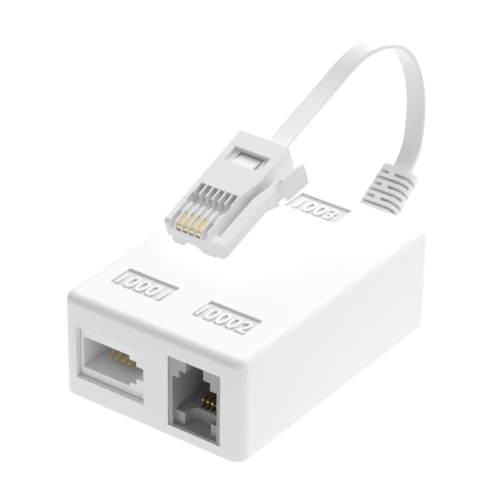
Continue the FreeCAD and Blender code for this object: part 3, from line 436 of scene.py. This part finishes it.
def makeNumber(text, x, y, spec):
    mesh = raisedDigits(text, spec)
    low, high = (Vector([pick(v.co[k] for v in mesh.vertices) for k in range(3)]) for pick in (min, max))
    base = spec["floor"] - spec["root"]
    place = Vector((x + spec["shift"][0], y + spec["shift"][1], base))
    middle = Vector(((low.x + high.x) / 2, (low.y + high.y) / 2, low.z))
    wide = Matrix.Diagonal((spec["stretch"], 1, 1, 1))
    mesh.transform(Matrix.Translation(place) @ wide @ Matrix.Translation(-middle))
    bm = bmesh.new()
    bm.from_mesh(mesh)
    bmesh.ops.remove_doubles(bm, verts=bm.verts, dist=mergeMm)
    bmesh.ops.recalc_face_normals(bm, faces=bm.faces)
    digitFaces = len(bm.faces)
    # a thin sheet over the pocket's floor, greyer than the top as painted shade of the sunk floor, and
    # duller as it is spark-eroded in the mould
    thick = spec["root"] + spec["plateRise"]
    plate = Matrix.Translation((x, y, base + thick / 2)) @ Matrix.Diagonal((*spec["plate"], thick, 1))
    bmesh.ops.create_cube(bm, size=1.0, matrix=plate)
    bm.faces.ensure_lookup_table()
    # the sheet's faces take the finish with painted shade
    for face in bm.faces[digitFaces:]:
        face.material_index = 1
    bm.to_mesh(mesh)
    bm.free()
    mesh.transform(Matrix.Scale(mm, 4))
    number = linkObject("portNumber" + text, mesh)
    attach(number, "root")


for text, (x, y) in portNumbers["cast"]:
    makeNumber(text, x, y, portNumbers)
print("numbers done,", len(portNumbers["cast"]))


# Wound wire on the four coils of the two chokes, turn beside turn in two layers
windings = {
    "wire": 0.42, "gap": 0.015, "corner": 1.2, "wireSteps": 10, "cornerSteps": 6,
    "layers": 2, "layerStep": 0.86,
    "coils": ["choke_a_winding_1", "choke_a_winding_2", "choke_b_winding_1", "choke_b_winding_2"],
}


def windingTree(spec):
    tree = bpy.data.node_groups.new("windTurns", "GeometryNodeTree")
    sockets = [("Wire", "Float"), ("Pitch", "Float"), ("Turns", "Int"), ("Width", "Float"),
               ("Height", "Float"), ("Corner", "Float"), ("First Turn", "Vector"), ("Finish", "Material")]
    for name, kind in sockets:
        tree.interface.new_socket(name=name, in_out="INPUT", socket_type="NodeSocket" + kind)
    tree.interface.new_socket(name="Geometry", in_out="OUTPUT", socket_type="NodeSocketGeometry")
    given = addNode(tree, "NodeGroupInput").outputs
    joined = addNode(tree, "GeometryNodeJoinGeometry")
    radius = addNode(tree, "ShaderNodeMath", {0: given["Wire"], 1: 0.5}, operation="MULTIPLY")
    profile = addNode(tree, "GeometryNodeCurvePrimitiveCircle", {
        "Resolution": spec["wireSteps"], "Radius": radius.outputs[0]})
    step = addNode(tree, "ShaderNodeCombineXYZ", {"Y": given["Pitch"]}).outputs[0]
    for layer in range(spec["layers"]):
        # each layer down lies in the grooves of the one over it, half a pitch along, with a turn less
        wires = 1.0 + 2 * spec["layerStep"] * layer
        sunk = addNode(tree, "ShaderNodeMath", {0: given["Wire"], 1: wires}, operation="MULTIPLY")
        width, height = (addNode(tree, "ShaderNodeMath", {0: given[side], 1: sunk.outputs[0]},
                                 operation="SUBTRACT").outputs[0] for side in ("Width", "Height"))
        loop = addNode(tree, "GeometryNodeCurvePrimitiveQuadrilateral", {"Width": width, "Height": height})
        rounded = addNode(tree, "GeometryNodeFilletCurve", {
            "Curve": loop.outputs["Curve"], "Radius": given["Corner"], "Count": spec["cornerSteps"]},
            mode="POLY")
        turn = addNode(tree, "GeometryNodeCurveToMesh", {
            "Curve": rounded.outputs["Curve"], "Profile Curve": profile.outputs["Curve"]})
        stood = addNode(tree, "GeometryNodeTransform", {
            "Geometry": turn.outputs["Mesh"], "Rotation": (pi / 2, 0.0, 0.0)})
        start = addNode(tree, "ShaderNodeVectorMath", {0: step, "Scale": 0.5 * layer}, operation="SCALE")
        place = addNode(tree, "ShaderNodeVectorMath", {0: given["First Turn"], 1: start.outputs[0]},
                        operation="ADD")
        count = addNode(tree, "ShaderNodeMath", {0: given["Turns"], 1: float(layer)}, operation="SUBTRACT")
        row = addNode(tree, "GeometryNodeMeshLine", {
            "Count": count.outputs[0], "Start Location": place.outputs[0], "Offset": step}, mode="OFFSET")
        placed = addNode(tree, "GeometryNodeInstanceOnPoints", {
            "Points": row.outputs["Mesh"], "Instance": stood.outputs["Geometry"]})
        tree.links.new(placed.outputs["Instances"], joined.inputs["Geometry"])
    realized = addNode(tree, "GeometryNodeRealizeInstances", {"Geometry": joined.outputs["Geometry"]})
    finished = addNode(tree, "GeometryNodeSetMaterial", {
        "Geometry": realized.outputs["Geometry"], "Material": given["Finish"]})
    addNode(tree, "NodeGroupOutput", {"Geometry": finished.outputs["Geometry"]})
    return tree


def windCoil(nodeName, tree, spec):
    low, high = (Vector(corner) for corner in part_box(nodeName))
    pitch = (spec["wire"] + spec["gap"]) * mm
    turns = int((high.y - low.y - spec["wire"] * mm) / pitch) + 1
    centre = (low + high) / 2
    values = {
        "Wire": spec["wire"] * mm, "Pitch": pitch, "Turns": turns,
        "Width": high.x - low.x, "Height": high.z - low.z,
        "Corner": (spec["corner"] - spec["wire"] / 2) * mm,
        "First Turn": Vector((centre.x, centre.y - pitch * (turns - 1) / 2, centre.z)),
        "Finish": finishOfNode(nodeName),
    }
    rough = linkObject("rough", bpy.data.meshes.new("rough"))
    wind = rough.modifiers.new("wind", "NODES")
    wind.node_group = tree
    for socket in tree.interface.items_tree:
        if socket.in_out == "INPUT":
            wind[socket.identifier] = values[socket.name]
    mesh = evaluatedMesh(rough)
    bpy.data.objects.remove(rough)
    # the nodes leave an empty slot before the wire's own
    mesh.materials.clear()
    mesh.materials.append(finishOfNode(nodeName))
    mesh.shade_smooth()
    coil = linkObject("turns_" + nodeName, mesh)
    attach(coil, "root")
    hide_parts(nodeName)
    return turns


windTurns = windingTree(windings)
turnCounts = [windCoil(nodeName, windTurns, windings) for nodeName in windings["coils"]]
print("windings done, turns in the outer layer:", turnCounts)


# Camera at the photograph's angle
view = {
    "azimuth": 35.895, "elevation": 30.671, "roll": 0.761, "lens": 208.31, "sensor": 36.0,
    "nearest": 0.01, "place": (264.78, -366.03, 290.69),
}


def makeCamera(spec):
    a, e, r = (radians(spec[k]) for k in ("azimuth", "elevation", "roll"))
    back = Vector((sin(a) * cos(e), -cos(a) * cos(e), sin(e)))
    right = Vector((cos(a), sin(a), 0.0))
    up = back.cross(right)
    across = right * cos(r) + up * sin(r)
    above = up * cos(r) - right * sin(r)
    data = bpy.data.cameras.new("camera")
    data.lens = spec["lens"]
    data.sensor_width = spec["sensor"]
    data.clip_start = spec["nearest"]
    camera = linkObject("camera", data)
    turned = Matrix((across, above, back)).transposed().to_4x4()
    camera.matrix_world = Matrix.Translation([c * mm for c in spec["place"]]) @ turned
    bpy.context.scene.camera = camera


makeCamera(view)


# Pale floor and soft studio light
studio = {
    "floorSize": 6.0, "floorDrop": 0.05, "floorColour": "#ffffff", "fibreColour": "#fdfdfd",
    "fibreMm": 30.0, "floorRoughness": 0.9, "floorSpecular": 0.2, "world": 0.45,
    "place": (0.09, 0.96, 1.18), "size": 1.3, "power": 25.2,
    "gains": {"sweepBox": 1.05, "caseBox": 1.02, "cordBox": 1.08},
}


def makeFloor(spec):
    # a matt paper sweep: plain white, with clouds too faint to see as a pattern
    half = spec["floorSize"] / 2
    low = -spec["floorDrop"] * mm  # a hair under the case, so that no two faces share a plane
    mesh = bpy.data.meshes.new("floor")
    corners = [(-half, -half, low), (half, -half, low), (half, half, low), (-half, half, low)]
    mesh.from_pydata(corners, [], [(0, 1, 2, 3)])
    material, tree, shader, place = startMaterial("paperSweep")
    fibre = addNode(tree, "ShaderNodeTexNoise", {"Vector": place, "Scale": perMetre(spec["fibreMm"])})
    tint = addNode(tree, "ShaderNodeMix", {"Factor": fibre.outputs["Fac"]}, data_type="RGBA")
    tint.inputs["A"].default_value = toLinear(spec["floorColour"])
    tint.inputs["B"].default_value = toLinear(spec["fibreColour"])
    tree.links.new(tint.outputs["Result"], shader.inputs["Base Color"])
    shader.inputs["Roughness"].default_value = spec["floorRoughness"]
    shader.inputs["Specular IOR Level"].default_value = spec["floorSpecular"]
    mesh.materials.append(material)
    floor = linkObject("floor", mesh)
    return floor


def linkSet(name, members, state):
    group = bpy.data.collections.new(name)
    for member in members:
        group.objects.link(member)
    for entry in group.collection_objects:
        entry.light_linking.link_state = state
    return group


def makeLights(spec, floor):
    world = bpy.data.worlds.new("studio")
    world.use_nodes = True
    background = world.node_tree.nodes["Background"]
    background.inputs["Color"].default_value = (1, 1, 1, 1)
    background.inputs["Strength"].default_value = spec["world"]
    bpy.context.scene.world = world
    # one softbox behind, in three parts: the floor is washed by its own, as a lit sweep is, and the plug
    # and cord throw no hard shadow on the case
    cordNames = ("moulded_", "plug_contact", "flatCord")
    cordParts = [piece for piece in bpy.data.objects if piece.name.startswith(cordNames)]
    parts = {
        "sweepBox": (([floor], "INCLUDE"), ([floor], "INCLUDE")),
        "caseBox": (([floor] + cordParts, "EXCLUDE"), (cordParts, "EXCLUDE")),
        "cordBox": ((cordParts, "INCLUDE"), None),
    }
    place = Vector(spec["place"])
    towardsPart = place.to_track_quat("Z", "Y").to_matrix().to_4x4()
    for name, (lit, blocking) in parts.items():
        data = bpy.data.lights.new(name, "AREA")
        data.shape = "SQUARE"
        data.size = spec["size"]
        data.energy = spec["power"] * spec["gains"][name]
        lamp = linkObject(name, data)
        lamp.matrix_world = Matrix.Translation(place) @ towardsPart
        lamp.visible_glossy = name != "caseBox"  # the photo's case shows no highlight of the softbox
        lamp.light_linking.receiver_collection = linkSet(name + "Lit", *lit)
        if blocking:
            lamp.light_linking.blocker_collection = linkSet(name + "Blocking", *blocking)


makeLights(studio, makeFloor(studio))
bpy.context.scene.view_settings.view_transform = "Standard"
print("camera, floor and lights done")
